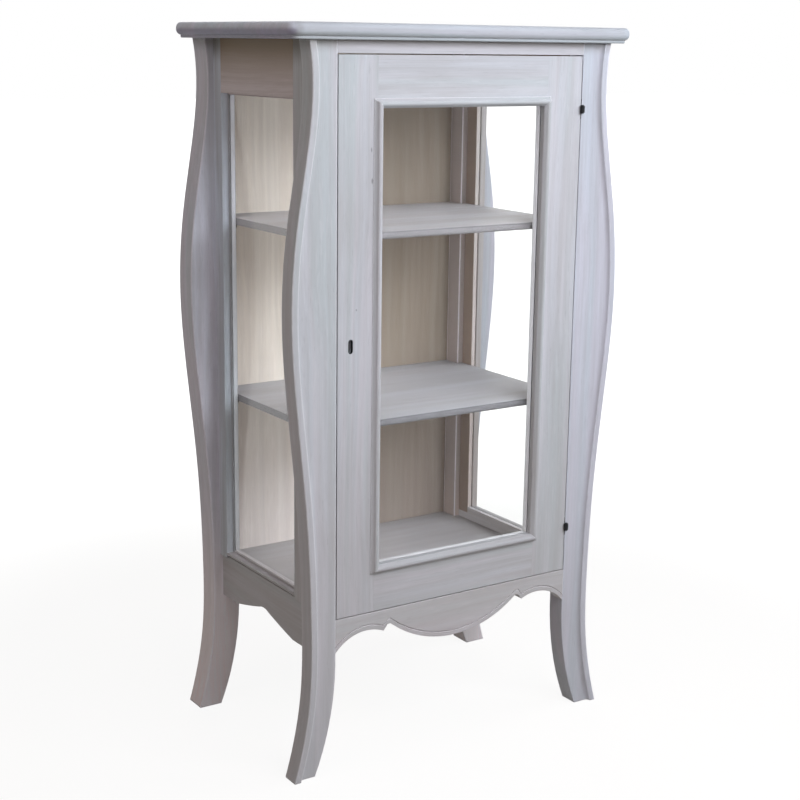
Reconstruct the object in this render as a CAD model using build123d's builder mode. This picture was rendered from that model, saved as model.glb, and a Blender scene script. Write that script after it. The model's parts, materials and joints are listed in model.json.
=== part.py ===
"""Display cabinet: four waved posts, glazed sides, one glazed door and two shelves.

Millimetres. X runs across the cabinet, Y from front (negative) to back, Z up.
The origin is on the floor, under the middle of the whole piece.
"""
import os

from build123d import *

os.makedirs("parts", exist_ok=True)

# Overall sizes
opening_width = 530
case_depth = 428
post_height = 1320
top_thickness = 28
top_side_overhang = 100
top_front_overhang = 26
top_corner_radius = 24
top_edge_radius = 10
top_lip_height = 5
top_lip_setback = 8
top_lip_radius = 2.2

# Posts and their raised rim
post_depth = 38
post_rear_round = 16
rear_post_depth = 50
rear_post_round = 1.5
rim_width = 13
rim_height = 9
rim_cove = 8
rim_crest = 0.9
rim_round = 1.5
foot_width = 47

# Door
door_gap = 2
door_thickness = 22
door_bottom_line = 297
front_rail_height = 23
moulding_line = 73
moulding_width = 17
moulding_height = 10.5
rabbet_width = 8
rabbet_depth = 10
glass_thickness = 3
glass_play = 0.3
seating_play = 0.1

# Section of the moulding: distance from its outer edge and height above the door
moulding_cove = [(0.8, 1), (3.6, 3.6), (5.5, 9)]
moulding_crest = [(5.5, 9), (9, moulding_height), (12.8, 9)]
moulding_sight_height = 3

# Front rails
rail_thickness = 24
apron_bead = 9
apron_quirk = 1.6
# Lower edge of the front apron: share of half the opening, and drop below the door line
apron_hollow = [(1, 65), (0.838, 37), (0.608, 42)]
apron_notch = [(0.608, 42), (0.574, 31), (0.551, 30)]
apron_shield_drop = 82.5

# Glazed sides
side_plane = 40.5
side_thickness = 28
window_front = 79
window_bottom = 330
window_head = 98
reveal_depth = 14
reveal_step = 3
inner_reveal = 1.5
groove_depth = 7
groove_play = 0.25
sill_height = 10
sill_lip = 4
sill_groove = 6
side_apron_setback = 5.5
side_apron_z = 233
# Lower edge of a side apron: share of half its span, and rise above its ends
side_apron_bend = [(0.66, 0), (0.4, 10), (0.1, 23.5)]
side_apron_rise = 27

# Back
back_panel_thickness = 8
back_panel_play = 0.25
back_rabbet = 10
back_bottom_z = 240

# Floor and shelves
floor_top = 306
floor_thickness = 16
shelf_shares = {"upper": 0.693, "lower": 0.352}
shelf_thickness = 13
shelf_play = 1
shelf_front_play = 10
shelf_nose_radius = 5
peg_radius = 4
peg_reach = 9
peg_depth = 8
peg_inset = 14
peg_play = 0.05
peg_end_play = 0.3
seat_play = 0.2

# Hinges
hinge_insets = {"upper": 97, "lower": 90}
barrel_radius = 4.2
barrel_height = 12.2
barrel_forward = 4.5
barrel_split = 0.3
pin_radius = 1.5
pin_play = 0.05
pin_cap_radius = 2.6
pin_cap_height = 1.4
leaf_thickness = 0.8
leaf_height = 36
leaf_start = 0.4
leaf_reach = 18
leaf_screw_y = 11
leaf_screw_spacing = 24
screw_head_radius = 2.3
screw_radius = 1.2
screw_length = 11
screw_play = 0.05

# Lock
keyhole_rise = 1
keyhole_inset = 28.5
keyhole_width = 9
keyhole_height = 25
liner_wall = 1.2
liner_depth = 4
liner_proud = 0.5
lock_width = 40
lock_height = 56
lock_edge = 1
lock_plate = 7.6
lock_channel = 6.6
lock_cover = 1.8
key_slot_width = 5
key_slot_height = 18
bolt_play = 0.3
bolt_height = 14
bolt_length = 30
strike_depth = 8.5
strike_height = 17

# Positions that follow from the sizes above
door_top_line = post_height - front_rail_height
door_span = door_top_line - door_bottom_line
window_top = post_height - window_head
shelf_tops = {level: door_bottom_line + share * door_span for level, share in shelf_shares.items()}
hinge_heights = {"upper": door_top_line - hinge_insets["upper"],
                 "lower": door_bottom_line + hinge_insets["lower"]}
keyhole_z = (door_bottom_line + door_top_line) / 2 + keyhole_rise
half_opening = opening_width / 2
half_depth = (case_depth + top_front_overhang) / 2
front_y = top_front_overhang - half_depth
back_y = front_y + case_depth
post_back = front_y + post_depth
rear_post_front = back_y - rear_post_depth
middle_y = (post_back + rear_post_front) / 2
side_out = half_opening + side_plane
side_in = side_out - side_thickness
window_front_y = front_y + window_front
window_back_y = back_y - window_front
glass_out = side_out - reveal_depth - inner_reveal
glass_in = glass_out - glass_thickness - 2 * groove_play
groove_run = groove_depth - reveal_step
back_front_y = back_y - back_rabbet
door_half = half_opening - door_gap
door_bottom = door_bottom_line + door_gap / 2
door_top = door_top_line - door_gap / 2
moulding_half = half_opening - moulding_line
moulding_bottom = door_bottom_line + moulding_line
moulding_top = door_top_line - moulding_line

# Outer edge of a post below the door line: height and distance outside the opening
splay = [(0, 90), (60, 74), (140, 60), (284, 55)]
# The same above it: share of the way from the door line to the top, and the distance
wave = [(0.198, 64.5), (0.384, 83.5), (0.524, 93.5), (0.673, 86), (0.795, 66.5),
        (0.902, 53), (1, 59)]
flank = splay + [(door_bottom_line + share * (post_height - door_bottom_line), out)
                 for share, out in wave]
# Inner edge of a leg below the straight part
leg = [(230, 0), (135, 6), (60, 22), (0, splay[0][1] - foot_width)]

pieces = {}


def front_view(y):
    """Sketch plane with sketch x along X and sketch y along Z; extrudes toward -Y."""
    return Plane.XZ.offset(-y)


def side_view(x):
    """Sketch plane with sketch x along Y and sketch y along Z; extrudes toward +X."""
    return Plane.YZ.offset(x)


def keep(name, builder):
    """Put a finished piece on the list of pieces to write out."""
    builder.part.label = name
    pieces[name] = builder.part


def mirrored(name, part, plane):
    """Keep the mirror image of a finished piece under its own name."""
    with BuildPart() as twin:
        mirror(part, about=plane)
    keep(name, twin)


def box_between(x_range, y_range, z_range):
    """A plain squared board between two values on each axis."""
    with BuildPart() as board:
        with BuildSketch(Plane.XY.offset(z_range[0])):
            with Locations((sum(x_range) / 2, sum(y_range) / 2)):
                Rectangle(x_range[1] - x_range[0], y_range[1] - y_range[0])
        extrude(amount=z_range[1] - z_range[0])
    return board


def long_edges(builder, y):
    """The post-length curved edges lying at one depth, from the inside out."""
    found = builder.edges().filter_by(
        lambda e: e.length > post_height * 0.9 and abs(e.center().Y - y) < 0.01
    )
    return found.filter_by(GeomType.LINE, reverse=True).sort_by(Axis.X)


# Posts
def post_face():
    """Front view of a right hand post."""
    with BuildSketch() as face:
        with BuildLine():
            Polyline((half_opening + leg[0][1], leg[0][0]), (half_opening, post_height),
                     (half_opening + flank[-1][1], post_height))
            Spline(*[(half_opening + out, z) for z, out in reversed(flank)])
            Line((half_opening + flank[0][1], 0), (half_opening + leg[-1][1], 0))
            Spline(*[(half_opening + out, z) for z, out in reversed(leg)])
        make_face()
    return face.sketch


def rim_face():
    """Front view of the raised rim along a post's outer edge."""
    with BuildSketch() as face:
        with BuildLine():
            Spline(*[(half_opening + out, z) for z, out in flank])
            Spline(*[(half_opening + out - rim_width, z) for z, out in flank])
            for z, out in (flank[0], flank[-1]):
                Line((half_opening + out - rim_width, z), (half_opening + out, z))
        make_face()
    return face.sketch


with BuildPart() as front_post:
    with BuildSketch(front_view(post_back)):
        add(post_face())
    extrude(amount=post_depth)
    with BuildSketch(front_view(front_y)):
        add(rim_face())
    extrude(amount=rim_height)
    fillet(long_edges(front_post, post_back)[-1], post_rear_round)
    fillet(long_edges(front_post, front_y)[0], rim_cove)
    fillet(long_edges(front_post, front_y - rim_height)[0], rim_crest)
    fillet(long_edges(front_post, front_y - rim_height)[-1], rim_round)

with BuildPart() as rear_post:
    with BuildSketch(front_view(back_y)):
        add(post_face())
    extrude(amount=rear_post_depth)
    for y in (rear_post_front, back_y):
        fillet(long_edges(rear_post, y)[-1], rear_post_round)
    with BuildSketch(Plane.XY.offset(back_bottom_z)):
        with Locations((half_opening + back_rabbet / 2, back_y - back_rabbet / 2)):
            Rectangle(back_rabbet, back_rabbet)
    extrude(amount=post_height - back_bottom_z, mode=Mode.SUBTRACT)

# The hinge screws go into the right front post, the lock bolt into the left one
with BuildPart() as post_front_right:
    add(front_post.part)
    with Locations(*[Plane.YZ.offset(half_opening) * Location((front_y + leaf_screw_y, z + dz))
                     for z in hinge_heights.values()
                     for dz in (-leaf_screw_spacing / 2, leaf_screw_spacing / 2)]):
        Cylinder(screw_radius + screw_play, 2 * screw_length, mode=Mode.SUBTRACT)
keep("post_front_right", post_front_right)

with BuildPart() as post_front_left:
    mirror(front_post.part, about=Plane.YZ)
    with Locations((-half_opening - strike_depth / 2, post_back, keyhole_z)):
        Box(strike_depth, 2 * (post_depth - door_thickness - lock_plate + bolt_play),
            strike_height, mode=Mode.SUBTRACT)
keep("post_front_left", post_front_left)

keep("post_back_right", rear_post)
mirrored("post_back_left", rear_post.part, Plane.YZ)

# Top board with a rounded edge and a thin lip below it
with BuildPart() as top_board:
    with BuildSketch(Plane.XY.offset(post_height + top_lip_height)):
        RectangleRounded(2 * (half_opening + top_side_overhang), 2 * half_depth, top_corner_radius)
    extrude(amount=top_thickness - top_lip_height)
    fillet(top_board.faces().sort_by(Axis.Z)[-1].edges(), top_edge_radius)
    fillet(top_board.faces().sort_by(Axis.Z)[0].edges(), top_edge_radius)
    with BuildSketch(Plane.XY.offset(post_height)):
        RectangleRounded(2 * (half_opening + top_side_overhang - top_lip_setback),
                         2 * (half_depth - top_lip_setback), top_corner_radius - top_lip_setback)
    extrude(amount=top_lip_height + top_edge_radius / 2)
    fillet(top_board.faces().sort_by(Axis.Z)[0].edges(), top_lip_radius)
keep("top_board", top_board)

# Rail above the door and waved apron below it
keep("front_top_rail", box_between(
    (-half_opening, half_opening), (front_y, front_y + rail_thickness),
    (door_top_line + door_gap / 2, post_height)))


def apron_edge(rise):
    """Lower edge of the front apron, moved up by a rise."""
    hollow, notch = [[(-share * half_opening, door_bottom_line - drop + rise)
                      for share, drop in points] for points in (apron_hollow, apron_notch)]
    shield_x, shield_z = notch[-1]
    with BuildLine() as edge:
        left = [ThreePointArc(*hollow), Polyline(*notch)]
        ThreePointArc((shield_x, shield_z), (0, door_bottom_line - apron_shield_drop + rise),
                      (-shield_x, shield_z))
        mirror(left, about=Plane.YZ)
    return edge.line


with BuildPart() as front_apron:
    apron_top = door_bottom_line - door_gap / 2
    apron_end_z = door_bottom_line - apron_hollow[0][1]
    with BuildSketch(front_view(front_y + rail_thickness)):
        with BuildLine():
            add(apron_edge(0))
            Polyline((-half_opening, apron_end_z), (-half_opening, apron_top),
                     (half_opening, apron_top), (half_opening, apron_end_z))
        make_face()
    extrude(amount=rail_thickness)
    with BuildSketch(front_view(front_y + apron_quirk)):
        with BuildLine():
            add(apron_edge(apron_bead))
            add(apron_edge(apron_bead + apron_quirk))
            for x in (-half_opening, half_opening):
                Line((x, apron_end_z + apron_bead), (x, apron_end_z + apron_bead + apron_quirk))
        make_face()
    extrude(amount=apron_quirk, mode=Mode.SUBTRACT)
keep("front_apron", front_apron)


# Glazed sides, made for the right and mirrored to the left
def reveal_section(edge, inward, far):
    """Stepped and grooved section of a window member.

    edge is where the window starts, inward is +1 or -1 toward the glass,
    far is the member's outer limit. First value across, second value X.
    """
    lip = edge + inward * reveal_step
    groove = lip - inward * groove_depth
    with BuildSketch() as section:
        with BuildLine():
            Polyline((far, side_in), (far, side_out), (edge, side_out),
                     (edge, side_out - reveal_depth), (lip, side_out - reveal_depth),
                     (lip, glass_out), (groove, glass_out), (groove, glass_in),
                     (lip, glass_in), (lip, side_in), close=True)
        make_face()
    return section.sketch


peg_spots = [(y, top - shelf_thickness - seat_play - peg_radius)
             for top in shelf_tops.values()
             for y in (post_back + peg_inset, rear_post_front - peg_inset)]

section_up = Plane(origin=(0, 0, window_bottom - sill_height), x_dir=(0, 1, 0), z_dir=(0, 0, -1))
section_along = Plane(origin=(0, window_front_y, 0), x_dir=(0, 0, 1), z_dir=(0, 1, 0))

stiles = {}
for place, edge, inward, far in (("front", window_front_y, 1, post_back),
                                 ("back", window_back_y, -1, rear_post_front)):
    with BuildPart() as stile:
        with BuildSketch(section_up):
            add(reveal_section(edge, inward, far))
        extrude(amount=window_bottom - sill_height - post_height)
        with Locations(*[Plane.YZ.offset(side_in) * Location(spot) for spot in peg_spots]):
            Cylinder(peg_radius + peg_play, 2 * (peg_depth + peg_end_play), mode=Mode.SUBTRACT)
    stiles[place] = stile.part
    keep(f"side_stile_{place}_right", stile)

with BuildPart() as side_rail:
    with BuildSketch(section_along):
        add(reveal_section(window_top, -1, post_height))
    extrude(amount=window_back_y - window_front_y)
    add(stiles.values(), mode=Mode.SUBTRACT)
keep("side_top_rail_right", side_rail)

with BuildPart() as side_sill:
    with BuildSketch(section_along.offset(-groove_run)):
        add(reveal_section(window_bottom, 1, window_bottom - sill_height))
    extrude(amount=window_back_y - window_front_y + 2 * groove_run)
    with BuildSketch(Plane.XY.offset(window_bottom - sill_height)):
        with Locations((side_out, middle_y)):
            Rectangle(2 * (side_apron_setback + sill_groove), rear_post_front - post_back)
    extrude(amount=sill_height - sill_lip, mode=Mode.SUBTRACT)
    add(stiles.values(), mode=Mode.SUBTRACT)
keep("side_sill_right", side_sill)

with BuildPart() as side_apron:
    half_span = (rear_post_front - post_back) / 2
    bend = [(-share * half_span, side_apron_z + rise) for share, rise in side_apron_bend]
    crown_y, crown_z = bend[-1]
    with BuildSketch(Plane(origin=(side_in, middle_y, 0), x_dir=(0, 1, 0), z_dir=(1, 0, 0))):
        with BuildLine():
            left = [Line((-half_span, side_apron_z), bend[0]), ThreePointArc(*bend)]
            ThreePointArc((crown_y, crown_z), (0, side_apron_z + side_apron_rise),
                          (-crown_y, crown_z))
            mirror(left, about=Plane.YZ)
            Polyline((-half_span, side_apron_z), (-half_span, window_bottom - sill_height),
                     (half_span, window_bottom - sill_height), (half_span, side_apron_z))
        make_face()
    extrude(amount=side_thickness - side_apron_setback)
keep("side_apron_right", side_apron)

glass_slack = groove_run - glass_play
keep("side_glass_right", box_between(
    (glass_in + groove_play, glass_out - groove_play),
    (window_front_y - glass_slack, window_back_y + glass_slack),
    (window_bottom - glass_slack, window_top + glass_slack)))

for name in [n for n in pieces if n.startswith("side_")]:
    mirrored(name.replace("right", "left"), pieces[name], Plane.YZ)

# Plain back panel let into rabbets in the back posts
panel_half = half_opening + back_rabbet - back_panel_play
keep("back_panel", box_between(
    (-panel_half, panel_half), (back_front_y, back_front_y + back_panel_thickness),
    (back_bottom_z, post_height)))


# Floor and shelves
def inner_plan(play, first_y, last_y):
    """Plan of a board that fills the case and steps in between the posts."""
    with BuildSketch() as plan:
        with Locations((0, middle_y)):
            Rectangle(2 * (side_in - play), rear_post_front - post_back - 2 * play)
        with Locations((0, (first_y + last_y) / 2)):
            Rectangle(2 * (half_opening - play), last_y - first_y)
    return plan.sketch


with BuildPart() as floor_panel:
    with BuildSketch(Plane.XY.offset(floor_top - floor_thickness)):
        add(inner_plan(0, front_y + rail_thickness, back_front_y))
    extrude(amount=floor_thickness)
keep("floor_panel", floor_panel)

for level, top in shelf_tops.items():
    with BuildPart() as shelf:
        with BuildSketch(Plane.XY.offset(top - shelf_thickness)):
            add(inner_plan(shelf_play, front_y + door_thickness + shelf_front_play,
                           back_front_y - shelf_play / 2))
        extrude(amount=shelf_thickness)
        nose = shelf.edges().filter_by(Axis.X).group_by(Axis.Y)[0]
        fillet(nose, shelf_nose_radius)
    keep(f"shelf_{level}", shelf)
    with BuildPart() as pegs:
        peg_z = top - shelf_thickness - seat_play - peg_radius
        for side in (-1, 1):
            for y in (post_back + peg_inset, rear_post_front - peg_inset):
                x = side * (side_in + (peg_depth - peg_reach) / 2)
                with Locations(Location((x, y, peg_z), (0, 90, 0))):
                    Cylinder(peg_radius, peg_depth + peg_reach)
    keep(f"shelf_pegs_{level}", pegs)

# Door frame with a rabbet in front for glass and moulding
rabbet_half = moulding_half - rabbet_width
sight_half = moulding_half - moulding_width
door_back = front_y + door_thickness
rabbet_y = front_y + rabbet_depth

with BuildPart() as door_stile:
    with BuildSketch(Plane.XY.offset(door_bottom)):
        with BuildLine():
            Polyline((door_half, front_y), (door_half, door_back), (sight_half, door_back),
                     (sight_half, rabbet_y), (rabbet_half, rabbet_y), (rabbet_half, front_y),
                     close=True)
        make_face()
    extrude(amount=door_top - door_bottom)

with BuildPart() as door_stile_hinge:
    add(door_stile.part)
    with Locations(*[Plane.YZ.offset(door_half) * Location((front_y + leaf_screw_y, z + dz))
                     for z in hinge_heights.values()
                     for dz in (-leaf_screw_spacing / 2, leaf_screw_spacing / 2)]):
        Cylinder(screw_radius + screw_play, 2 * screw_length, mode=Mode.SUBTRACT)
keep("door_stile_hinge", door_stile_hinge)

keyhole_x = -half_opening + keyhole_inset
with BuildPart() as door_stile_lock:
    mirror(door_stile.part, about=Plane.YZ)
    with BuildSketch(front_view(door_back)):
        with Locations((keyhole_x, keyhole_z)):
            SlotOverall(keyhole_height - 2 * liner_wall, keyhole_width - 2 * liner_wall, rotation=90)
    extrude(amount=door_thickness, mode=Mode.SUBTRACT)
    with BuildSketch(front_view(front_y + liner_depth)):
        with Locations((keyhole_x, keyhole_z)):
            SlotOverall(keyhole_height, keyhole_width, rotation=90)
    extrude(amount=liner_depth, mode=Mode.SUBTRACT)
keep("door_stile_lock", door_stile_lock)

door_stiles = [door_stile_hinge.part, door_stile_lock.part]
door_levels = {"bottom": (door_bottom, moulding_bottom, 1), "top": (door_top, moulding_top, -1)}
for place, (far, line, inward) in door_levels.items():
    with BuildPart() as rail:
        with BuildSketch(side_view(-sight_half)):
            with BuildLine():
                Polyline((front_y, far), (door_back, far),
                         (door_back, line + inward * moulding_width),
                         (rabbet_y, line + inward * moulding_width),
                         (rabbet_y, line + inward * rabbet_width),
                         (front_y, line + inward * rabbet_width), close=True)
            make_face()
        extrude(amount=2 * sight_half)
        with BuildSketch(Plane.XY.offset(min(far, line + inward * rabbet_width))):
            with Locations((0, (front_y + rabbet_y) / 2)):
                Rectangle(2 * rabbet_half, rabbet_depth)
        extrude(amount=abs(line + inward * rabbet_width - far))
        add(door_stiles, mode=Mode.SUBTRACT)
    keep(f"door_rail_{place}", rail)

keep("door_glass", box_between(
    (glass_play - rabbet_half, rabbet_half - glass_play),
    (rabbet_y - glass_thickness, rabbet_y),
    (moulding_bottom + rabbet_width + glass_play, moulding_top - rabbet_width - glass_play)))


# Raised moulding round the door glass, mitred at the corners
def moulding_section():
    """Section of the moulding: across from its outer edge, then depth, front negative."""
    leg_back = rabbet_depth - glass_thickness - seating_play
    cove, crest = [[(across, -height) for across, height in points]
                   for points in (moulding_cove, moulding_crest)]
    with BuildSketch() as section:
        with BuildLine():
            Polyline((0, 0), (0, cove[0][1]), cove[0])
            ThreePointArc(*cove)
            ThreePointArc(*crest)
            Polyline(crest[-1], (moulding_width, -moulding_sight_height),
                     (moulding_width, leg_back), (rabbet_width + seating_play, leg_back),
                     (rabbet_width + seating_play, 0), (0, 0))
        make_face()
    return section.sketch


corner_low = (-moulding_half, front_y, moulding_bottom)
corner_high = (-moulding_half, front_y, moulding_top)
rising = Plane(origin=corner_low, x_dir=(0, 1, 0), z_dir=(-1, 0, 1))

with BuildPart() as upright:
    with BuildSketch(Plane(origin=corner_low, x_dir=(1, 0, 0), z_dir=(0, 0, 1))):
        add(moulding_section())
    extrude(amount=moulding_top - moulding_bottom)
    split(bisect_by=rising, keep=Keep.TOP)
    split(bisect_by=Plane(origin=corner_high, x_dir=(0, 1, 0), z_dir=(1, 0, 1)), keep=Keep.BOTTOM)
keep("door_moulding_left", upright)
mirrored("door_moulding_right", upright.part, Plane.YZ)

with BuildPart() as level:
    with BuildSketch(Plane(origin=(moulding_half, front_y, moulding_bottom),
                           x_dir=(0, 0, 1), z_dir=(-1, 0, 0))):
        add(moulding_section())
    extrude(amount=2 * moulding_half)
    split(bisect_by=rising, keep=Keep.BOTTOM)
    split(bisect_by=Plane(origin=(moulding_half, front_y, moulding_bottom),
                          x_dir=(0, 1, 0), z_dir=(1, 0, 1)), keep=Keep.BOTTOM)
keep("door_moulding_bottom", level)
mirrored("door_moulding_top", level.part, Plane.XY.offset((moulding_bottom + moulding_top) / 2))

# Hinges: a leaf on the post, a leaf on the door and a pin through both barrels
axis_x = half_opening - door_gap / 2
axis_y = front_y - barrel_forward


def hinge_leaf(plate_x, low, high, z):
    """A leaf whose plate starts at plate_x and whose barrel spans low to high above z."""
    with BuildPart() as leaf:
        with BuildSketch(side_view(plate_x)):
            with Locations(((2 * front_y + leaf_start + leaf_reach) / 2, z)):
                Rectangle(leaf_reach - leaf_start, leaf_height)
            with Locations(((axis_y + front_y + leaf_start) / 2, z + (low + high) / 2)):
                Rectangle(barrel_forward + leaf_start, high - low)
        extrude(amount=leaf_thickness)
        with BuildSketch(Plane.XY.offset(z + low)):
            with Locations((axis_x, axis_y)):
                Circle(barrel_radius)
        extrude(amount=high - low)
        with Locations((axis_x, axis_y, z)):
            Cylinder(pin_radius + pin_play, 2 * barrel_height, mode=Mode.SUBTRACT)
        plate_middle = Plane.YZ.offset(plate_x + leaf_thickness / 2)
        with Locations(*[plate_middle * Location((front_y + leaf_screw_y, z + dz))
                         for dz in (-leaf_screw_spacing / 2, leaf_screw_spacing / 2)]):
            Cylinder(screw_head_radius + screw_play, 2 * leaf_thickness, mode=Mode.SUBTRACT)
    return leaf


half_split = barrel_split / 2
for level_name, z in hinge_heights.items():
    keep(f"hinge_leaf_post_{level_name}", hinge_leaf(
        half_opening - leaf_thickness, half_split, barrel_height / 2, z))
    keep(f"hinge_leaf_door_{level_name}", hinge_leaf(
        door_half, -barrel_height / 2, -half_split, z))
    with BuildPart() as pin:
        with Locations((axis_x, axis_y, z)):
            Cylinder(pin_radius, barrel_height + 2 * barrel_split)
        for side in (-1, 1):
            cap_z = z + side * (barrel_height / 2 + barrel_split + pin_cap_height / 2)
            with Locations((axis_x, axis_y, cap_z)):
                Cylinder(pin_cap_radius, pin_cap_height)
    keep(f"hinge_pin_{level_name}", pin)

for place, face_x, outward in (("post", half_opening, 1), ("door", door_half, -1)):
    with BuildPart() as screws:
        for z in hinge_heights.values():
            for dz in (-leaf_screw_spacing / 2, leaf_screw_spacing / 2):
                shank_x = face_x + outward * (screw_length / 2 - leaf_thickness)
                with Locations(Plane.YZ.offset(shank_x) * Location((front_y + leaf_screw_y, z + dz))):
                    Cylinder(screw_radius, screw_length)
                head_x = face_x - outward * leaf_thickness / 2
                with Locations(Plane.YZ.offset(head_x) * Location((front_y + leaf_screw_y, z + dz))):
                    Cylinder(screw_head_radius, leaf_thickness)
    keep(f"hinge_screws_{place}", screws)

# Lock on the back of the door: plate, two guide blocks, cover and sliding bolt
lock_x = (-door_half + lock_edge, -door_half + lock_edge + lock_width)
plate_y = (door_back, door_back + lock_plate)
guide_y = (plate_y[1], plate_y[1] + lock_channel)
cover_y = (guide_y[1], guide_y[1] + lock_cover)
lock_low = keyhole_z - lock_height / 2
lock_high = keyhole_z + lock_height / 2
guide_edge = bolt_height / 2 + bolt_play

with BuildPart() as lock_back_plate:
    with BuildSketch(front_view(plate_y[1])):
        with Locations((sum(lock_x) / 2, keyhole_z)):
            Rectangle(lock_width, lock_height)
        with Locations((keyhole_x, keyhole_z)):
            SlotOverall(key_slot_height, key_slot_width, rotation=90, mode=Mode.SUBTRACT)
    extrude(amount=lock_plate)
keep("lock_back_plate", lock_back_plate)
keep("lock_guide_upper", box_between(lock_x, guide_y, (keyhole_z + guide_edge, lock_high)))
keep("lock_guide_lower", box_between(lock_x, guide_y, (lock_low, keyhole_z - guide_edge)))
keep("lock_cover", box_between(lock_x, cover_y, (lock_low, lock_high)))
keep("lock_bolt", box_between(
    (lock_x[0], lock_x[0] + bolt_length), (guide_y[0] + bolt_play, guide_y[1] - bolt_play),
    (keyhole_z - bolt_height / 2, keyhole_z + bolt_height / 2)))

with BuildPart() as keyhole_liner:
    with BuildSketch(front_view(front_y + liner_depth)):
        with Locations((keyhole_x, keyhole_z)):
            SlotOverall(keyhole_height, keyhole_width, rotation=90)
            SlotOverall(keyhole_height - 2 * liner_wall, keyhole_width - 2 * liner_wall,
                        rotation=90, mode=Mode.SUBTRACT)
    extrude(amount=liner_depth + liner_proud)
keep("keyhole_liner", keyhole_liner)

for name, part in pieces.items():
    export_step(part, f"parts/{name}.step")
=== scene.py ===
import json
import math
import random

import bmesh
import bpy
from bpy.props import FloatProperty, FloatVectorProperty, PointerProperty
from mathutils import Matrix, Vector


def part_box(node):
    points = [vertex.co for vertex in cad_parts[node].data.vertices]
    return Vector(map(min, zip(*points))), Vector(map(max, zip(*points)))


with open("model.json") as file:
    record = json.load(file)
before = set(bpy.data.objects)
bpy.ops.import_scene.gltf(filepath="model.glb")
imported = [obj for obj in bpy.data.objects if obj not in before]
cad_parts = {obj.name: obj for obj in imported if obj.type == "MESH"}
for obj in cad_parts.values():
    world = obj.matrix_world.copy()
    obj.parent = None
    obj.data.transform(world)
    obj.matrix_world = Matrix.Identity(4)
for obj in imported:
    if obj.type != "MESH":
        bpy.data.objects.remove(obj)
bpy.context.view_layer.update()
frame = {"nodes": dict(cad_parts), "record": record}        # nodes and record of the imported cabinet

bl_info = {
    "name": "Display cabinet finish",
    "version": (1, 0, 0),
    "blender": (4, 5, 0),
    "location": "3D View > Sidebar > Cabinet",
    "description": "Finishes the packed display cabinet and sets up its stage",
    "category": "Object",
}

NODES = frame["nodes"]

# Boards whose grain runs upright or from front to back; the others' runs across
UPRIGHT = ("post_", "door_stile_", "side_stile_", "back_panel",
           "door_moulding_left", "door_moulding_right")
FRONT_TO_BACK = ("side_top_rail_", "side_sill_", "side_apron_")
GRAIN_TURN = {"Z": (0, 0, 0), "X": (0, -math.pi / 2, 0), "Y": (math.pi / 2, 0, 0)}

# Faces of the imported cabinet, metres
SHELF_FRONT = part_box("shelf_upper")[0].y
SHELF_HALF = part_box("shelf_upper")[1].x
SIDE_IN, SIDE_OUT = [corner.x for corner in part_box("side_stile_back_right")]
TOP_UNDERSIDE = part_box("top_board")[0].z
TOP_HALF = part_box("top_board")[1].x
DOOR_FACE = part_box("door_stile_lock")[0].y

# A shelf's front edge, metres: where it fades into the top, and where it ends at the sides
NOSE = (SHELF_FRONT + 0.003, SHELF_FRONT + 0.005)
SHELF_END = (SHELF_HALF - 0.0007, SHELF_HALF + 0.0001)

# The case's inner faces: their boards, how far out they reach and the height they start at,
# metres; each pair is where the paint begins and ends to fade
INSIDE_BOARDS = ("side_stile_", "post_back_")
INSIDE_REACH = (SIDE_IN + 0.0006, SIDE_IN + 0.0009)
INSIDE_START = (0.262, 0.263)

# The top's ends: where they start and where their round turns from painted shade to painted light,
# metres, then the tint of the round's lower, painted-shade part and of its upper, painted-light part
TOP_END = (TOP_HALF - 0.015, TOP_HALF - 0.005)
TOP_ROUND = (TOP_UNDERSIDE + 0.012, TOP_UNDERSIDE + 0.021)
END_SHADE = (0.68, 0.63, 0.77)
END_LIGHT = (1.45, 1.47, 1.55)

# Painted shade below the top's overhang: how far down it reaches, metres, and how strong it gets
UNDER_TOP_SHADE = {"side_top_rail_": (0.095, 1.0), "side_stile_": (0.05, 0.7), "post_": (0.025, 0.4),
             "front_top_rail": (0.02, 0.3)}

# How far some boards' edges are rounded and lightened, partly as wear and partly as painted
# highlight, and how far all others' are rounded, metres
WORN_AND_HIGHLIT = {"post_": 0.0045, "top_board": 0.002, "front_apron": 0.002, "door_moulding_": 0.002}
LEAST_ROUND = 0.0014

# How far an edge turns, as 1 less the cosine, where the lightening starts and where it is full
LIGHTEN_TURN = (0.01, 0.12)

# Grain noises: scale per metre, twice across the board and once along it, then detail, and how
# far from the others' place the tint's noise is read
GRAIN = {
    "fibre": ((420, 420, 7), 2),
    "streak": ((90, 90, 1.5), 3),
    "cloud": ((12, 12, 3), 3),
    "pore": ((1100, 1100, 36), 1),
    "band": ((34, 34, 0.7), 1),
    "tint": ((21, 21, 0.6), 1),
    "dab": ((230, 230, 26), 2),
}
TINT_SHIFT = (7, 3, 5)

# The grain's slow sway: scale per metre and detail, then how far it bends the grain, metres
SWAY = ((5, 5, 1.2), 2)
SWAY_REACH = 0.05

# Scale per metre and detail of the faint dark clouds on the top
TOP_CLOUDS = ((7, 9, 9), 3)

# How far from the origin a board's stretch of wood may lie, metres, and each wood's first seed
CUT_REACH = 3
OUTER_SEED = 0
INNER_SEED = 100

# Where a coat shows: the two noise values that it rises between, then its full strength
COATS = {
    "bare": (0.4, 0.78, 1),
    "pore": (0.64, 0.74, 1),
    "band": (0.4, 0.6, 1),
    "tint": (0.45, 0.65, 1),
    "dab": (0.54, 0.66, 0.3),
    "patch": (0.5, 0.8, 0.3),
    "stain": (0.5, 0.72, 0.45),
}

# How strongly the pores darken the wash
PORE_STRENGTH = 0.25

# Browner and darker towards the bottom: the heights that it fades between, metres, and how strong it gets
LOW_DOWN = (0.1, 0.9)
LOW_STRENGTH = 0.5

# How much more the grain shows on some boards
GRAINY = {"side_top_rail_": 1.9, "side_": 1.5, "door_rail_": 1.2}
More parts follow.
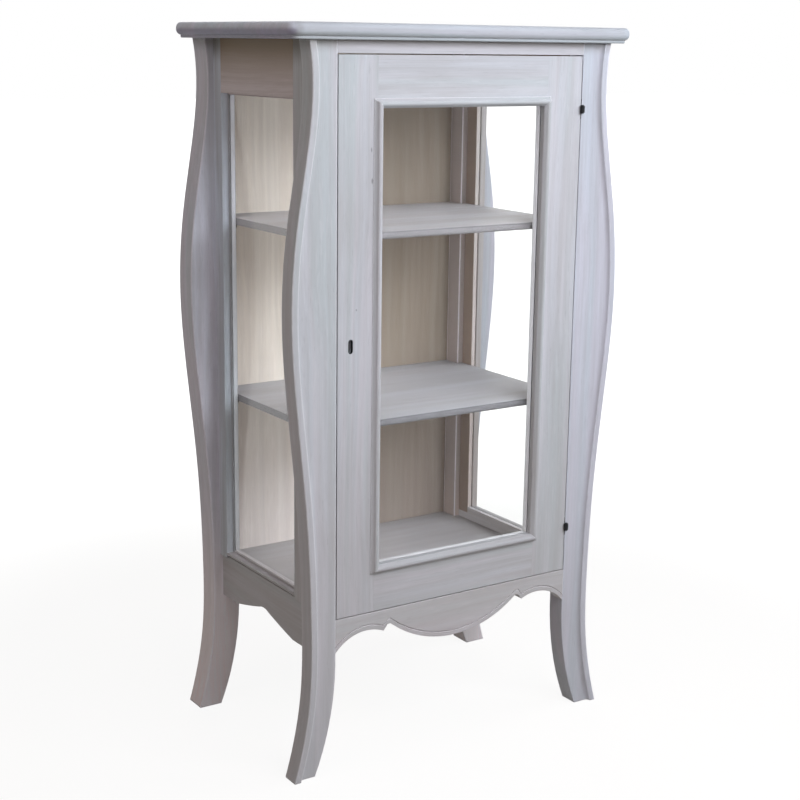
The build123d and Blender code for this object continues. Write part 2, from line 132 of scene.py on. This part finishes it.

# Tints of some boards, red, green and blue against the others: the wash's own tone on some,
# painted light and shade on those marked so
EVEN = (1, 1, 1)
TINTS = {
    # Painted light: the rear posts lighter and bluer
    "post_back_": (1.22, 1.22, 1.29),
    # Painted sheen: the right front post brighter and bluer than the left
    "post_front_right": (1.04, 1.06, 1.12),
    # The side top rails lighter and warmer, under their painted shade below the top
    "side_top_rail_": (1.36, 1.25, 1.21),
    # Painted light: the back side stiles lighter, the left one bluer and the right one warmer
    "side_stile_back_left": (1.15, 1.25, 1.33),
    "side_stile_back_right": (1.18, 1.12, 1.06),
    "top_board": (0.87, 0.90, 0.92),
    "front_apron": (1.05, 1.0, 0.99),
    # Painted light and shade: the shelves and the floor bluer, and darker the lower they lie
    "shelf_upper": (0.90, 0.95, 1.10),
    "shelf_lower": (0.70, 0.76, 0.90),
    "floor_panel": (0.69, 0.73, 0.84),
    "back_panel": (1.24, 1.22, 1.20),
    # Painted shade: the bottom moulding darker than the others
    "door_moulding_bottom": (0.93, 0.92, 0.93),
}

# Where a board's colour changes: direction, the run of the change, metres, and the tint before it;
# painted light where marked so
TINT_CHANGES = {
    # Painted light: the back lighter and bluer low down
    "back_panel": ("height", (0.3, 0.75), (1.12, 1.14, 1.24)),
    # Painted light: the rear posts' legs lighter
    "post_back_": ("height", (0.12, 0.48), (1.45, 1.38, 1.3)),
    # The back side stiles darker inside the glass line
    "side_stile_back_": ("out", (SIDE_OUT - 0.014, SIDE_OUT - 0.0135), (0.80, 0.76, 0.74)),
}

# Where across the back the painted shade sets in, darkening its right part, metres
BACK_SHADE_RUN = (-0.12, 0.12)

# Small dark marks: place, then half width and half height, metres
MARKS = {
    "door_stile_lock": (((-0.1945, DOOR_FACE, 1.084), 0.0022, 0.0055),
                        ((-0.1965, DOOR_FACE, 1.137), 0.0014, 0.0045),
                        ((-0.2250, DOOR_FACE, 0.862), 0.0014, 0.0020)),
}

# The marks' soft rim, as shares of those halves, and how dark they are
MARK_RIM = (0.5, 1.2)
MARK_STRENGTH = 0.55

# Floor: half width and where its shadows fade out, metres, then how much plain white there is
# near the cabinet, and how strong that white is
FLOOR_REACH = 30
SHADOW_FADE = (0.9, 2.6)
NEAR_WHITE = 0.7
FLOOR_GLOW = 1.3

# Lamps: name, place, width and height, power, colour; all face one point
LAMP_AIM = (0, 0, 0.9)
LAMPS = (
    ("key", (0.38, -2.12, 2.08), (2.2, 1.3), 52, (0.87, 0.92, 1.0)),
    ("right", (2.60, -0.95, 2.50), (1.6, 1.6), 30, (0.84, 0.90, 1.0)),
    ("side", (-2.68, -0.72, 2.5), (1.6, 1.6), 12, (1.0, 0.86, 0.82)),
    ("back", (1.40, 2.60, 2.40), (1.8, 1.8), 16, (1.0, 0.98, 0.96)),
)


# Shader maths
class Link:
    """A socket that can stand in a Python expression."""

    def __init__(self, shading, socket):
        self.shading = shading
        self.socket = socket

    def _math(self, operation, *values):
        return self.shading.node("ShaderNodeMath", {"operation": operation}, *values)

    def __add__(self, other):
        return self._math("ADD", self, other)

    def __radd__(self, other):
        return self._math("ADD", other, self)

    def __sub__(self, other):
        return self._math("SUBTRACT", self, other)

    def __rsub__(self, other):
        return self._math("SUBTRACT", other, self)

    def __mul__(self, other):
        return self._math("MULTIPLY", self, other)

    def __rmul__(self, other):
        return self._math("MULTIPLY", other, self)


def opaque(colour):
    """A colour with full alpha; a linked colour stays as it is."""
    return colour if isinstance(colour, Link) else (*colour, 1)


class Shading:
    """A node tree, filled by one method."""

    def __init__(self, tree):
        self.tree = tree
        self.tree.nodes.clear()

    def node(self, kind, settings=None, *values, out=0, **named):
        """Adds a node, sets it up and fills its inputs, then gives one output."""
        made = self.tree.nodes.new(kind)
        for key, value in (settings or {}).items():
            setattr(made, key, value)
        inputs = dict(enumerate(values))
        inputs.update({key.replace("_", " "): value for key, value in named.items()})
        for key, value in inputs.items():
            if isinstance(value, Link):
                self.tree.links.new(value.socket, made.inputs[key])
            elif value is not None:
                made.inputs[key].default_value = value
        return Link(self, made.outputs[out])

    def mix(self, factor, first, second):
        """Blends two colours."""
        return self.node("ShaderNodeMix", {"data_type": "RGBA"}, factor, *[None] * 5,
                         opaque(first), opaque(second), out=2)

    def vector(self, operation, *values, out=0, **named):
        """One step of vector maths."""
        return self.node("ShaderNodeVectorMath", {"operation": operation}, *values, out=out, **named)

    def noise(self, place, scale, detail):
        """Noise of the given scale on each axis of a place."""
        return self.node("ShaderNodeTexNoise", {}, Vector=self.vector("MULTIPLY", place, scale),
                         Scale=1, Detail=detail)

    def steps(self, value, low, high, full=1):
        """A smooth rise from 0 at low to its full value at high."""
        return self.node("ShaderNodeMapRange", {"interpolation_type": "SMOOTHSTEP"},
                         value, low, high, 0, full)

    def finish(self, shader, kind="ShaderNodeOutputMaterial"):
        """Connects the finished shader to the output."""
        end = self.tree.nodes.new(kind)
        self.tree.links.new(shader.socket, end.inputs["Surface"])


def new_material(name):
    """A material with an empty node tree."""
    material = bpy.data.materials.new(name)
    material.use_nodes = True
    return material, Shading(material.node_tree)


def grain_of(name):
    """The axis that a board's grain runs along."""
    if name.startswith(UPRIGHT):
        return "Z"
    return "Y" if name.startswith(FRONT_TO_BACK) else "X"


def pick(table, name, otherwise):
    """A table's value for a board, by the start of its name."""
    return next((value for start, value in table.items() if name.startswith(start)), otherwise)


class LimedBoard:
    """One board's material: wood under a pale wash laid on thinly, built up coat by coat."""

    def __init__(self, name, settings, seed):
        self.name = name
        self.settings = settings
        self.material, self.s = new_material(name + "_wood")
        self.own = self.s.node("ShaderNodeTexCoord", out="Object")
        across, front, height = [self.s.node("ShaderNodeSeparateXYZ", {}, self.own, out=axis)
                                 for axis in range(3)]
        out = self.s.node("ShaderNodeMath", {"operation": "ABSOLUTE"}, across)
        self.place = {"across": across, "front": front, "height": height, "out": out}
        self.grain = self.read_grain(random.Random(seed))
        self.bare = self.mask("bare", self.grain["streak"] * 0.55 + self.grain["fibre"] * 0.2
                              + self.grain["cloud"] * 0.4)
        self.pore = self.mask("pore", self.grain["pore"])
        self.colour = settings.pale

    def read_grain(self, draw):
        """The grain noises on this board's own stretch of wood."""
        offset = [draw.uniform(-CUT_REACH, CUT_REACH) for _ in range(3)]
        place = self.s.node("ShaderNodeMapping", {}, Vector=self.own, Location=offset,
                            Rotation=GRAIN_TURN[grain_of(self.name)])
        sway = self.s.vector("SCALE", self.s.noise(place, *SWAY), Scale=SWAY_REACH)
        bent = self.s.vector("ADD", place, sway)
        shifted = self.s.vector("ADD", bent, TINT_SHIFT)
        return {kind: self.s.noise(shifted if kind == "tint" else bent, scale, detail)
                for kind, (scale, detail) in GRAIN.items()}

    def mask(self, coat, noise):
        """How strongly one coat shows over a noise."""
        return self.s.steps(noise, *COATS[coat])

    def beyond(self, direction, start, end):
        """A rise from 0 to 1 between two places in one direction."""
        return self.s.steps(self.place[direction], start, end)

    def coat(self, mask, colour):
        """Paints a colour where the mask is 1."""
        self.colour = self.s.mix(mask, self.colour, colour)

    def tone(self, tint):
        """Multiplies the colour by a tint."""
        self.colour = self.s.vector("MULTIPLY", self.colour, tint)

    def lay_wash(self):
        """The wash's bands and dabs, with the wood and its pores showing through."""
        settings = self.settings
        self.coat(self.mask("band", self.grain["band"]), settings.second)
        self.coat(self.mask("tint", self.grain["tint"]), settings.third)
        self.coat(self.mask("dab", self.grain["dab"]), settings.thick)
        self.coat(self.bare * settings.contrast * pick(GRAINY, self.name, 1), settings.bare)
        self.coat(self.pore * PORE_STRENGTH * settings.contrast, settings.pore)

    def brown(self):
        """Browned patches, a browner, darker tone towards the bottom, and painted shade below the top."""
        low = (1 - self.beyond("height", *LOW_DOWN)) * LOW_STRENGTH
        patches = self.mask("patch", self.grain["cloud"])
        self.coat((low + patches) * self.settings.age, self.settings.aged)
        # Painted shade below the top's overhang
        reach, strength = pick(UNDER_TOP_SHADE, self.name, (0, 0))
        if strength:
            under = self.beyond("height", TOP_UNDERSIDE - reach, TOP_UNDERSIDE)
            self.coat(under * strength, self.settings.sooty)

    def stain_top(self):
        """The top's ends, with painted shade on their round's lower part and painted light on its upper part, and the
        top's faint dark clouds.
        """
        # Painted shade on the lower part of the ends' round, painted light on the upper part
        end_light_and_shade = self.s.mix(self.beyond("height", *TOP_ROUND), END_SHADE, END_LIGHT)
        self.tone(self.s.mix(self.beyond("out", *TOP_END), EVEN, end_light_and_shade))
        self.coat(self.mask("stain", self.s.noise(self.own, *TOP_CLOUDS)), self.settings.stain)

    def spot(self, centre, across, tall):
        """1 inside a small upright oval."""
        shrink = Vector((1 / across, 1 / across, 1 / tall))
        away = self.s.vector("DISTANCE", self.s.vector("MULTIPLY", self.own, shrink),
                             shrink * Vector(centre), out=1)
        return 1 - self.s.steps(away, *MARK_RIM)

    def darken_nose(self):
        """A shelf's front edge."""
        top = self.beyond("front", *NOSE) * (1 - self.beyond("out", *SHELF_END))
        self.coat(1 - top, self.settings.nose)

    def darken_inside(self):
        """The faces that look into the case."""
        inner = (1 - self.beyond("out", *INSIDE_REACH)) * self.beyond("height", *INSIDE_START)
        self.coat(inner, self.settings.inside)

    def rub_edges(self):
        """Rounds the edges in the shading, lightens some of them as wear and painted highlight, and gives the normal.
        """
        lightened = pick(WORN_AND_HIGHLIT, self.name, 0)
        arris = self.s.node("ShaderNodeBevel", {"samples": 4}, Radius=max(lightened, LEAST_ROUND),
                            out="Normal")
        if lightened:
            flat = self.s.node("ShaderNodeNewGeometry", out="Normal")
            turn = 1 - self.s.vector("DOT_PRODUCT", arris, flat, out=1)
            # Lightened edges: partly wear, partly painted highlight
            self.coat(self.s.steps(turn, *LIGHTEN_TURN) * self.settings.wear, self.settings.worn)
        return arris

    def lay_coats(self):
        """All the coats, from the wash to the board's tint, with painted light and shade among them; gives the edges'
        normal.
        """
        self.lay_wash()
        self.brown()
        if self.name == "top_board":
            self.stain_top()
        if self.name in MARKS:
            spots = sum(self.spot(*mark) for mark in MARKS[self.name])
            self.coat(spots * MARK_STRENGTH, self.settings.pore)
        if self.name.startswith("shelf_"):
            self.darken_nose()
        if self.name == "back_panel":
            # Painted shade: the back darker towards its right
            self.tone(self.s.mix(self.beyond("across", *BACK_SHADE_RUN), EVEN, self.settings.thin))
        if self.name.startswith(INSIDE_BOARDS):
            self.darken_inside()
        # Changes along some boards: painted light on the back and the rear posts' legs, and the back side stiles
        # darker inside the glass line
        change = pick(TINT_CHANGES, self.name, None)
        if change:
            direction, run, tint = change
            self.tone(self.s.mix(self.beyond(direction, *run), tint, EVEN))
        arris = self.rub_edges()
        # Board tints, some of them painted light and shade
        self.tone(pick(TINTS, self.name, EVEN))
        return arris

    def finish(self):
        """The finished material, with its sheen and relief."""
        arris = self.lay_coats()
        height = self.grain["fibre"] * 0.5 + self.grain["streak"] * 0.5 - self.pore * 0.5
        normal = self.s.node("ShaderNodeBump", {}, Strength=self.settings.relief,
                             Distance=0.0004, Height=height, Normal=arris)
        rough = 0.62 - 0.12 * self.bare + 0.1 * self.pore
        self.s.finish(self.s.node("ShaderNodeBsdfPrincipled", {}, Base_Color=self.colour,
                                  Roughness=rough, Normal=normal, IOR=1.45))
        return self.material


def paint(name, material):
    """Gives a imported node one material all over."""
    slots = NODES[name].data.materials
    slots.clear()
    slots.append(material)


def nodes_of(slot):
    """The nodes that the record gives one material slot, in a fixed order."""
    rows = frame["record"]["subparts"]
    return sorted(row["node"] for row in rows if row["material_slot"] == slot)


def finish_boards(slot, settings, first_seed):
    """Finishes each board of a slot, with a seed of its own."""
    for seed, name in enumerate(nodes_of(slot), first_seed):
        paint(name, LimedBoard(name, settings, seed).finish())


# Settings that a user would change
def colour_setting(name, description, value):
    """A colour property with the usual limits."""
    return FloatVectorProperty(name=name, description=description, subtype="COLOR", size=3,
                               min=0, max=1, default=value)


class OuterWoodSettings(bpy.types.PropertyGroup):
    """Finish of the frame, the door and the top"""
    pale: colour_setting("Wash", "Colour of the pale wash", (0.65, 0.65, 0.68))
    second: colour_setting("Second wash", "Tint of the wash's broad bands", (0.69, 0.66, 0.69))
    third: colour_setting("Third wash", "Tint of the wash's wider bands", (0.59, 0.62, 0.63))
    # Faint dark bluish clouds over the top
    stain: colour_setting("Stain", "Colour of the stains on the top", (0.44, 0.49, 0.53))
    # Painted shade below the top's overhang
    sooty: colour_setting("Under top", "Colour of the browned wood below the top",
                          (0.18, 0.13, 0.07))
    aged: colour_setting("Age", "Colour of the browned patches", (0.50, 0.45, 0.42))
    age: FloatProperty(name="Browning", description="How strongly the browned patches show",
                       min=0, max=1, default=0.6, subtype="FACTOR")
    inside: colour_setting("Inside", "Colour of the sides' inner faces", (0.37, 0.32, 0.285))
    # Lightened edges: partly wear, partly painted highlight
    worn: colour_setting("Worn edge", "Colour of the rubbed edges", (0.92, 0.90, 0.92))
    wear: FloatProperty(name="Wear", description="How strongly the rubbed edges show",
                        min=0, max=1, default=1.0, subtype="FACTOR")
    thick: colour_setting("Thick wash", "Colour of the wash's short dabs", (0.74, 0.73, 0.75))
    bare: colour_setting("Grain", "Colour where the wood shows through", (0.47, 0.45, 0.45))
    pore: colour_setting("Pores", "Colour of the open pores and marks", (0.12, 0.11, 0.11))
    contrast: FloatProperty(name="Contrast", description="How strongly the grain shows",
                            min=0, max=1, default=0.62, subtype="FACTOR")
    relief: FloatProperty(name="Relief", description="Strength of the grain's relief",
                          min=0, max=1, default=0.3, subtype="FACTOR")


class InnerWoodSettings(bpy.types.PropertyGroup):
    """Finish of the back, the floor and the shelves"""
    pale: colour_setting("Wash", "Colour of the pale wash", (0.63, 0.585, 0.515))
    second: colour_setting("Second wash", "Tint of the wash's broad bands", (0.61, 0.55, 0.48))
    third: colour_setting("Third wash", "Tint of the wash's wider bands", (0.56, 0.50, 0.43))
    thick: colour_setting("Thick wash", "Colour of the wash's short dabs", (0.68, 0.63, 0.57))
    bare: colour_setting("Grain", "Colour where the wood shows through", (0.42, 0.37, 0.32))
    aged: colour_setting("Age", "Colour of the browned patches", (0.42, 0.36, 0.30))
    age: FloatProperty(name="Browning", description="How strongly the browned patches show",
                       min=0, max=1, default=0.4, subtype="FACTOR")
    # Painted shade over the back's right part
    thin: colour_setting("Thin wash", "Tint of the back where the wash is thin",
                         (0.472, 0.436, 0.402))
    pore: colour_setting("Pores", "Colour of the open pores and marks", (0.14, 0.12, 0.10))
    nose: colour_setting("Nose", "Colour of a shelf's front edge", (0.19, 0.17, 0.15))
    contrast: FloatProperty(name="Contrast", description="How strongly the grain shows",
                            min=0, max=1, default=0.55, subtype="FACTOR")
    relief: FloatProperty(name="Relief", description="Strength of the grain's relief",
                          min=0, max=1, default=0.3, subtype="FACTOR")


class FittingSettings(bpy.types.PropertyGroup):
    """Glass, pegs and ironwork"""
    glass: colour_setting("Glass", "Tint of the panes", (0.985, 0.99, 0.988))
    peg: colour_setting("Pegs", "Colour of the shelf pegs", (0.05, 0.04, 0.035))
    iron: colour_setting("Iron", "Colour of the hinges and the lock", (0.012, 0.012, 0.014))


class StageSettings(bpy.types.PropertyGroup):
    """Floor, room light and camera"""
    floor: colour_setting("Floor", "Colour of the floor", (0.40, 0.37, 0.34))
    ambient: colour_setting("Room", "Colour of the room's own light", (0.1, 0.094, 0.09))
    azimuth: FloatProperty(name="Camera azimuth", description="Direction of view from +Y to +X",
                           unit="ROTATION", default=math.radians(33.52))
    elevation: FloatProperty(name="Camera elevation", description="Direction of view above level",
                             unit="ROTATION", default=math.radians(-13.17))
    roll: FloatProperty(name="Camera roll", description="Turn about the line of sight",
                        unit="ROTATION", default=math.radians(0.77))
    lens: FloatProperty(name="Lens", description="Focal length on a 36 mm sensor, in millimetres",
                        min=1, default=68.76)
    eye: FloatVectorProperty(name="Camera place", description="Where the camera stands",
                             subtype="TRANSLATION", unit="LENGTH", size=3,
                             default=(-1.60905, -2.4317, 1.3166))


class CABINET_OT_outer_wood(bpy.types.Operator):
    """Finish the frame, the door and the top in limed wood"""
    bl_idname = "cabinet.outer_wood"
    bl_label = "Outer wood"

    def execute(self, context):
        finish_boards("limed_wood", context.scene.cabinet_outer_wood, OUTER_SEED)
        return {"FINISHED"}


class CABINET_OT_inner_wood(bpy.types.Operator):
    """Finish the back, the shelves and the floor in a warmer wash"""
    bl_idname = "cabinet.inner_wood"
    bl_label = "Inner wood"

    def execute(self, context):
        finish_boards("inner_wood", context.scene.cabinet_inner_wood, INNER_SEED)
        return {"FINISHED"}


class CABINET_OT_pegs(bpy.types.Operator):
    """Finish the shelf pegs in dark wood"""
    bl_idname = "cabinet.pegs"
    bl_label = "Pegs"

    def execute(self, context):
        material, s = new_material("dark_peg")
        s.finish(s.node("ShaderNodeBsdfPrincipled", {}, Roughness=0.6,
                        Base_Color=opaque(context.scene.cabinet_fittings.peg)))
        for name in nodes_of("peg_wood"):
            paint(name, material)
        return {"FINISHED"}


class CABINET_OT_glass(bpy.types.Operator):
    """Glaze the door and both sides"""
    bl_idname = "cabinet.glass"
    bl_label = "Glass"

    def execute(self, context):
        tint = opaque(context.scene.cabinet_fittings.glass)
        material, s = new_material("clear_glass")
        pane = s.node("ShaderNodeBsdfPrincipled", {}, Base_Color=tint, Roughness=0.03, IOR=1.15,
                      Transmission_Weight=1.0)
        through = s.node("ShaderNodeBsdfTransparent", {}, tint)
        shadow = s.node("ShaderNodeLightPath", out="Is Shadow Ray")
        s.finish(s.node("ShaderNodeMixShader", {}, shadow, pane, through))
        for name in nodes_of("clear_glass"):
            paint(name, material)
        return {"FINISHED"}


class CABINET_OT_iron(bpy.types.Operator):
    """Finish the hinges and the lock in dark iron"""
    bl_idname = "cabinet.iron"
    bl_label = "Ironwork"

    def execute(self, context):
        material, s = new_material("dark_iron")
        mottle = s.noise(s.node("ShaderNodeTexCoord", out="Object"), (900, 900, 900), 3)
        normal = s.node("ShaderNodeBump", {}, Strength=0.2, Distance=0.0002, Height=mottle)
        s.finish(s.node("ShaderNodeBsdfPrincipled", {}, Metallic=0.6, Normal=normal,
                        Base_Color=opaque(context.scene.cabinet_fittings.iron),
                        Roughness=0.5 + 0.25 * mottle))
        for name in nodes_of("dark_iron"):
            paint(name, material)
        return {"FINISHED"}


class CABINET_OT_stage(bpy.types.Operator):
    """Set up the floor, the lights and the camera"""
    bl_idname = "cabinet.stage"
    bl_label = "Stage"

    def execute(self, context):
        settings = context.scene.cabinet_stage
        lay_floor(settings.floor)
        light_room(settings.ambient)
        for lamp in LAMPS:
            add_lamp(*lamp)
        add_camera(settings)
        context.scene.view_settings.view_transform = "Standard"
        return {"FINISHED"}


def seen_directly(s):
    """1 for what the eye sees straight, in a mirror or through glass."""
    camera, glossy, glass = [s.node("ShaderNodeLightPath", out=kind) for kind in
                             ("Is Camera Ray", "Is Glossy Ray", "Is Transmission Ray")]
    return s.node("ShaderNodeMath", {"operation": "MINIMUM"}, camera + glossy + glass, 1.0)


def lay_floor(colour):
    """A wide plain floor that shows white to the eye and takes the cabinet's shadow."""
    square = bmesh.new()
    bmesh.ops.create_grid(square, x_segments=1, y_segments=1, size=FLOOR_REACH)
    mesh = bpy.data.meshes.new("floor")
    square.to_mesh(mesh)
    square.free()
    floor = bpy.data.objects.new("floor", mesh)
    bpy.context.scene.collection.objects.link(floor)
    material, s = new_material("floor")
    plain = s.node("ShaderNodeBsdfDiffuse", {}, opaque(colour))
    white = s.node("ShaderNodeEmission", {}, (1, 1, 1, 1), FLOOR_GLOW)
    away = s.vector("LENGTH", s.node("ShaderNodeTexCoord", out="Object"), out=1)
    share = NEAR_WHITE + (1 - NEAR_WHITE) * s.steps(away, *SHADOW_FADE)
    s.finish(s.node("ShaderNodeMixShader", {}, seen_directly(s) * share, plain, white))
    mesh.materials.append(material)


def light_room(ambient):
    """World light, white where it is seen."""
    world = bpy.data.worlds.new("room")
    bpy.context.scene.world = world
    world.use_nodes = True
    s = Shading(world.node_tree)
    glow = s.node("ShaderNodeBackground", {}, opaque(ambient), 1.0)
    white = s.node("ShaderNodeBackground", {}, (1, 1, 1, 1), 1.0)
    s.finish(s.node("ShaderNodeMixShader", {}, seen_directly(s), glow, white),
             "ShaderNodeOutputWorld")


def add_lamp(name, place, size, power, colour):
    """A soft rectangular lamp that faces the cabinet."""
    light = bpy.data.lights.new(name, "AREA")
    light.shape = "RECTANGLE"
    light.size, light.size_y = size
    light.energy = power
    light.color = colour
    lamp = bpy.data.objects.new(name, light)
    lamp.location = place
    lamp.rotation_euler = (Vector(LAMP_AIM) - Vector(place)).to_track_quat("-Z", "Y").to_euler()
    lamp.visible_camera = False
    bpy.context.scene.collection.objects.link(lamp)


def add_camera(settings):
    """The camera at the photograph's place and angle."""
    az, el, roll = settings.azimuth, settings.elevation, settings.roll
    ahead = Vector((math.sin(az) * math.cos(el), math.cos(az) * math.cos(el), math.sin(el)))
    right = Vector((math.cos(az), -math.sin(az), 0))
    up = right.cross(ahead)
    across = right * math.cos(roll) + up * math.sin(roll)
    upward = up * math.cos(roll) - right * math.sin(roll)
    turn = Matrix((across, upward, -ahead)).transposed().to_4x4()
    camera = bpy.data.objects.new("camera", bpy.data.cameras.new("camera"))
    camera.data.sensor_width = 36
    camera.data.lens = settings.lens
    camera.matrix_world = Matrix.Translation(settings.eye) @ turn
    bpy.context.scene.collection.objects.link(camera)
    bpy.context.scene.camera = camera


class CABINET_PT_panel(bpy.types.Panel):
    """Lists the cabinet's operators"""
    bl_idname = "CABINET_PT_panel"
    bl_label = "Cabinet"
    bl_space_type = "VIEW_3D"
    bl_region_type = "UI"
    bl_category = "Cabinet"

    def draw(self, context):
        for operator in OPERATORS:
            self.layout.operator(operator.bl_idname)


OPERATORS = (CABINET_OT_outer_wood, CABINET_OT_inner_wood, CABINET_OT_pegs, CABINET_OT_glass,
             CABINET_OT_iron, CABINET_OT_stage)
SETTINGS = {"cabinet_outer_wood": OuterWoodSettings, "cabinet_inner_wood": InnerWoodSettings,
            "cabinet_fittings": FittingSettings, "cabinet_stage": StageSettings}
CLASSES = (*SETTINGS.values(), *OPERATORS, CABINET_PT_panel)


def register():
    """Registers the classes and gives the scene its settings"""
    for cls in CLASSES:
        bpy.utils.register_class(cls)
    for name, group in SETTINGS.items():
        setattr(bpy.types.Scene, name, PointerProperty(type=group))


def unregister():
    """Takes the settings and the classes away again"""
    for name in SETTINGS:
        delattr(bpy.types.Scene, name)
    for cls in reversed(CLASSES):
        bpy.utils.unregister_class(cls)


def main():
    """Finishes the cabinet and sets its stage"""
    register()
    for make in (bpy.ops.cabinet.outer_wood, bpy.ops.cabinet.inner_wood, bpy.ops.cabinet.pegs,
                 bpy.ops.cabinet.glass, bpy.ops.cabinet.iron, bpy.ops.cabinet.stage):
        make()


if __name__ == "__main__":
    main()
